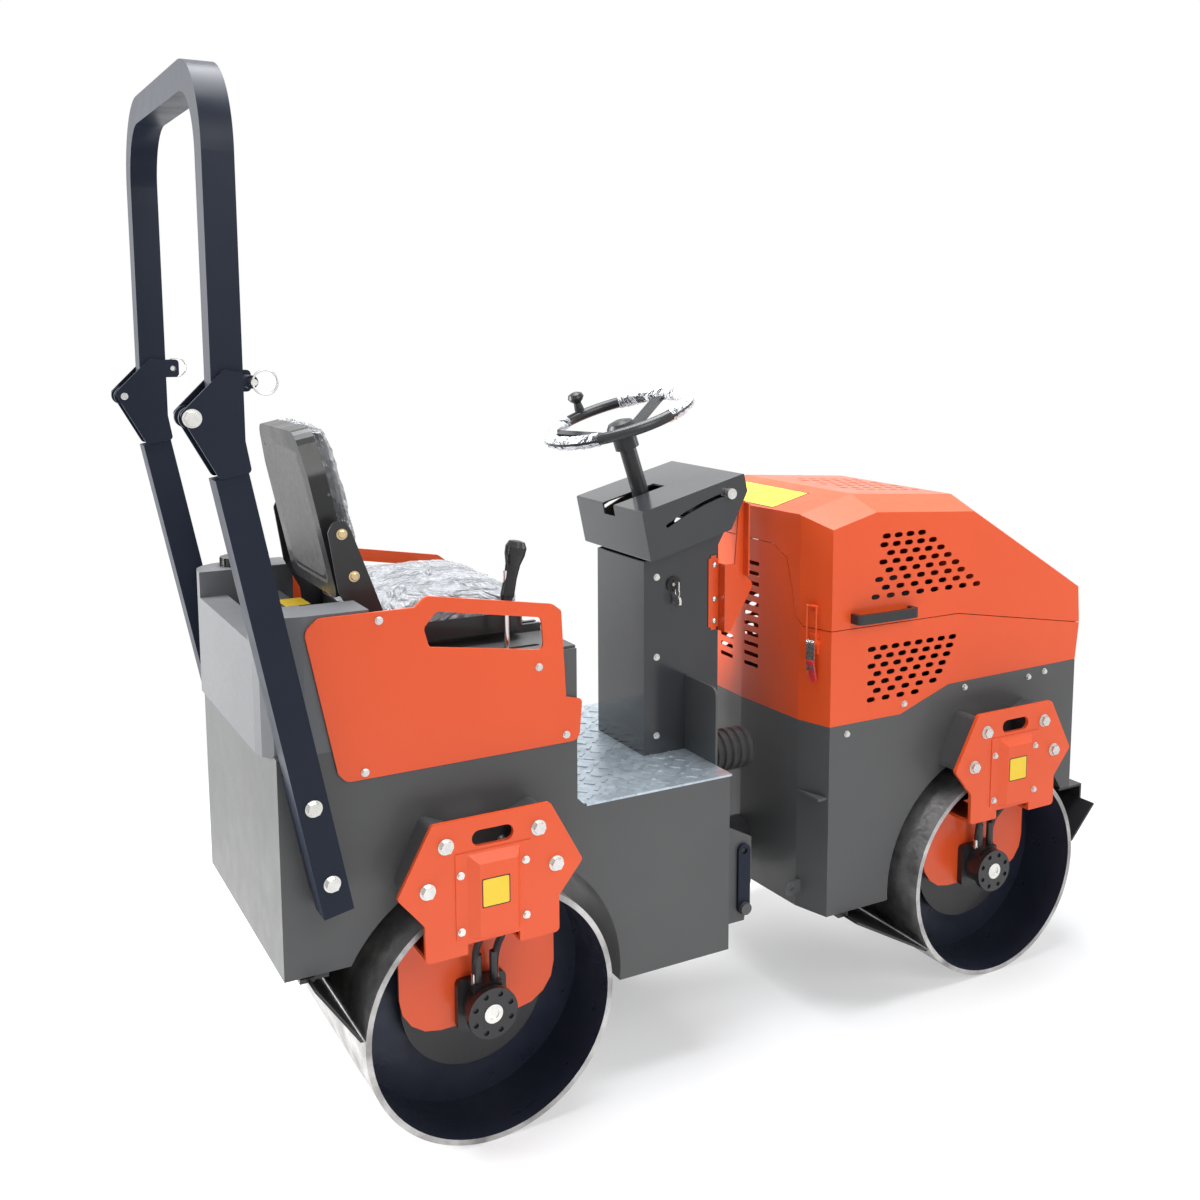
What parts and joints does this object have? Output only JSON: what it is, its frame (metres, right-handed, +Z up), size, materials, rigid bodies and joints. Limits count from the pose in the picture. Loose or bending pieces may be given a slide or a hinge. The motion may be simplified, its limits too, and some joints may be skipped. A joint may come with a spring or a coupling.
{
  "type": "ride-on roller",
  "caption": "Articulated ride-on road roller with smooth steel drums, folding roll bar, seat, steering console and a tilting perforated engine hood",
  "frame": {"origin": "on the ground under the middle of the machine's overall box", "axes": "+X forward towards the engine hood, +Y to the driver's left, +Z up"},
  "size_m": [2.3959, 0.876, 2.205],
  "materials": {
    "dark_grey_paint": "satin, smooth powder coat",
    "bar_paint": "satin, dark blue-grey",
    "orange_paint": "gloss powder coat",
    "galvanised_steel": "zinc coated, with tread bars",
    "drum_steel": "bare rolled steel, brushed outside",
    "zinc_steel": "bright zinc",
    "black_metal": "semi-gloss black",
    "grey_plastic": "moulded, fine grain",
    "black_plastic": "smooth moulded",
    "black_rubber": "matt",
    "seat_vinyl": "stitched vinyl",
    "brass": "polished"
  },
  "bodies": {
    "rear": {"rear_frame": "dark_grey_paint", "floor_plate": "galvanised_steel", "toe_board": "dark_grey_paint", "seat_deck": "black_metal", "rear_water_tank": "grey_plastic", "side_guard_right": "orange_paint", "side_guard_left": "orange_paint", "roll_bar_posts": "bar_paint", "roll_bar_brackets": "bar_paint", "rear_fasteners": "zinc_steel", "console_tower": "dark_grey_paint", "console_bracket": "orange_paint", "ignition_switch": "zinc_steel", "steering_column": "black_metal", "seat_rails": "black_metal", "rear_yoke": "dark_grey_paint", "air_duct": "black_rubber", "rear_support_plates": "orange_paint", "rear_motor_plates": "orange_paint", "rear_drum_motors": "black_metal", "rear_scraper": "black_metal"},
    "cap": {"tank_cap": "black_plastic"},
    "hoop": {"roll_bar_hoop": "bar_paint"},
    "pin_right": {"lock_pin_right": "zinc_steel"},
    "pin_left": {"lock_pin_left": "zinc_steel"},
    "key": {"ignition_key": "brass"},
    "dash": {"dash_cover": "dark_grey_paint"},
    "knob": {"dash_knob": "zinc_steel"},
    "wheel": {"steering_wheel": "black_plastic"},
    "spinner": {"spinner_knob": "black_plastic"},
    "seat": {"seat_pan": "black_metal", "seat_cushion": "seat_vinyl"},
    "backrest": {"seat_back_shell": "black_plastic", "seat_back_cushion": "seat_vinyl"},
    "lever": {"drive_lever": "zinc_steel", "lever_grip": "black_plastic"},
    "centre": {"centre_joint": "dark_grey_paint"},
    "ram_barrel": {"steering_barrel": "black_metal"},
    "ram_rod": {"steering_rod": "zinc_steel"},
    "transport_bar": {"lock_bar": "dark_grey_paint"},
    "front": {"front_frame": "dark_grey_paint", "lower_hood": "orange_paint", "engine": "black_metal", "front_fasteners": "zinc_steel", "front_support_plates": "orange_paint", "front_motor_plates": "orange_paint", "front_drum_motors": "black_metal", "front_scrapers": "black_metal"},
    "hood": {"upper_hood": "orange_paint", "hood_handles": "black_plastic"},
    "latch_r": {"latch_right": "zinc_steel"},
    "latch_l": {"latch_left": "zinc_steel"},
    "fan": {"engine_fan": "black_plastic"},
    "rear_drum": {"rear_drum_shell": "drum_steel", "rear_drum_hub": "black_metal", "rear_rubber_mounts": "black_rubber"},
    "front_drum": {"front_drum_shell": "drum_steel", "front_drum_hub": "black_metal", "front_rubber_mounts": "black_rubber"}
  },
  "joints": [
    {"name": "articulation", "type": "hinge", "parent": "rear", "child": "centre", "pos_m": [0.156, 0, 0.37], "axis": [0, 0, 1], "range_deg": [-30, 30]},
    {"name": "oscillation", "type": "hinge", "parent": "centre", "child": "front", "pos_m": [0.156, 0, 0.37], "axis": [1, 0, 0], "range_deg": [-6, 6]},
    {"name": "rear_drum_roll", "type": "hinge", "parent": "rear", "child": "rear_drum", "pos_m": [-0.614, 0, 0.28], "axis": [0, 1, 0], "continuous": true},
    {"name": "front_drum_roll", "type": "hinge", "parent": "front", "child": "front_drum", "pos_m": [0.826, 0, 0.28], "axis": [0, 1, 0], "continuous": true},
    {"name": "wheel_turn", "type": "hinge", "parent": "rear", "child": "wheel", "pos_m": [-0.104, 0, 1.5], "axis": [-0.309, 0, 0.9511], "range_deg": [-540, 540]},
    {"name": "spinner_turn", "type": "hinge", "parent": "wheel", "child": "spinner", "pos_m": [-0.11846, 0.17384, 1.4953], "axis": [-0.309, 0, 0.9511], "continuous": true},
    {"name": "ram_swing", "type": "hinge", "parent": "rear", "child": "ram_barrel", "pos_m": [-0.074, 0.12, 0.37], "axis": [0, 0, 1], "range_deg": [-3, 3]},
    {"name": "ram_stroke", "type": "slide", "parent": "ram_barrel", "child": "ram_rod", "axis": [0.9888, -0.1493, 0], "range_m": [-0.045, 0.045]},
    {"name": "transport_bar_swing", "type": "hinge", "parent": "rear", "child": "transport_bar", "pos_m": [0.081, -0.29, 0.318], "axis": [0, 1, 0], "range_deg": [0, 75]},
    {"name": "roll_bar_fold", "type": "hinge", "parent": "rear", "child": "hoop", "pos_m": [-1.178, 0, 1.564], "axis": [0, -1, 0], "range_deg": [0, 110]},
    {"name": "lock_pin_right_slide", "type": "slide", "parent": "hoop", "child": "pin_right", "axis": [0, 1, 0], "range_m": [0, 0.012]},
    {"name": "lock_pin_left_slide", "type": "slide", "parent": "hoop", "child": "pin_left", "axis": [0, -1, 0], "range_m": [0, 0.012]},
    {"name": "cap_turn", "type": "hinge", "parent": "rear", "child": "cap", "pos_m": [-0.958, 0.286, 1.18], "axis": [0, 0, 1], "continuous": true},
    {"name": "key_turn", "type": "hinge", "parent": "rear", "child": "key", "pos_m": [-0.02, -0.12, 1.1], "axis": [0, 1, 0], "range_deg": [0, 60]},
    {"name": "dash_tilt", "type": "hinge", "parent": "rear", "child": "dash", "pos_m": [0.126, 0, 1.23], "axis": [0, 1, 0], "range_deg": [0, 8]},
    {"name": "dash_knob_turn", "type": "hinge", "parent": "dash", "child": "knob", "pos_m": [0.1074, -0.17, 1.32015], "axis": [0, -1, 0], "continuous": true},
    {"name": "seat_slide", "type": "slide", "parent": "rear", "child": "seat", "axis": [1, 0, 0], "range_m": [-0.045, 0.075]},
    {"name": "backrest_fold", "type": "hinge", "parent": "seat", "child": "backrest", "pos_m": [-0.838, 0, 1.216], "axis": [0, 1, 0], "range_deg": [0, 90]},
    {"name": "drive_lever_tilt", "type": "hinge", "parent": "rear", "child": "lever", "pos_m": [-0.531, -0.285, 1.018], "axis": [0, 1, 0], "range_deg": [-20, 20]},
    {"name": "hood_tilt", "type": "hinge", "parent": "front", "child": "hood", "pos_m": [1.167, 0, 0.91], "axis": [0, 1, 0], "range_deg": [0, 55]},
    {"name": "latch_right_swing", "type": "hinge", "parent": "front", "child": "latch_r", "pos_m": [0.27211, -0.29187, 0.955], "axis": [-0.2734, 0.9619, 0], "range_deg": [0, 110]},
    {"name": "latch_left_swing", "type": "hinge", "parent": "front", "child": "latch_l", "pos_m": [0.27211, 0.29187, 0.955], "axis": [0.2734, 0.9619, 0], "range_deg": [0, 110]},
    {"name": "fan_turn", "type": "hinge", "parent": "front", "child": "fan", "pos_m": [0.956, 0, 0.7663], "axis": [1, 0, 0], "continuous": true}
  ],
  "couplings": [
    {"joint": "wheel_turn", "follows": "articulation", "ratio": 18},
    {"joint": "ram_swing", "follows": "articulation", "ratio": 0.07},
    {"joint": "ram_stroke", "follows": "articulation", "m_per_rad": -0.0814}
  ]
}
